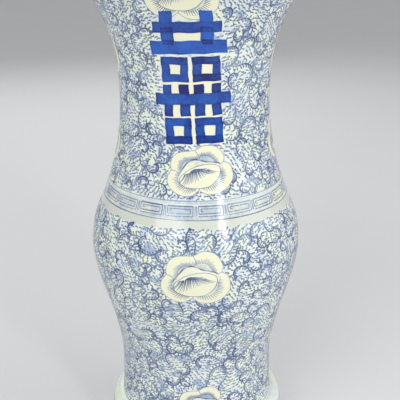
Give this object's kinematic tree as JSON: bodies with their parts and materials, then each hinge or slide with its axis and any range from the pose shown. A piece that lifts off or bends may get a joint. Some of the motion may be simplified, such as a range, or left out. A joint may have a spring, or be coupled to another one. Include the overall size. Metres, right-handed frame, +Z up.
{
  "type": "gu vase",
  "caption": "Tall porcelain gu vase with a trumpet neck, a bellied middle and a spreading foot, glazed over blue scroll painting, open at the top.",
  "frame": {"origin": "centre of the foot ring's resting face", "axes": "+Z up along the vase's axis of revolution, -Y towards the front, where the large blue sign is painted"},
  "size_m": [0.2, 0.2, 0.45],
  "materials": {
    "painted_porcelain": "clear glossy glaze over blue painting",
    "luting_slip": "fired clay slip, matt"
  },
  "bodies": {
    "root": {"neck_section": "painted_porcelain", "belly_section": "painted_porcelain", "foot_section": "painted_porcelain", "upper_seam_slip": "luting_slip", "lower_seam_slip": "luting_slip"}
  },
  "joints": []
}
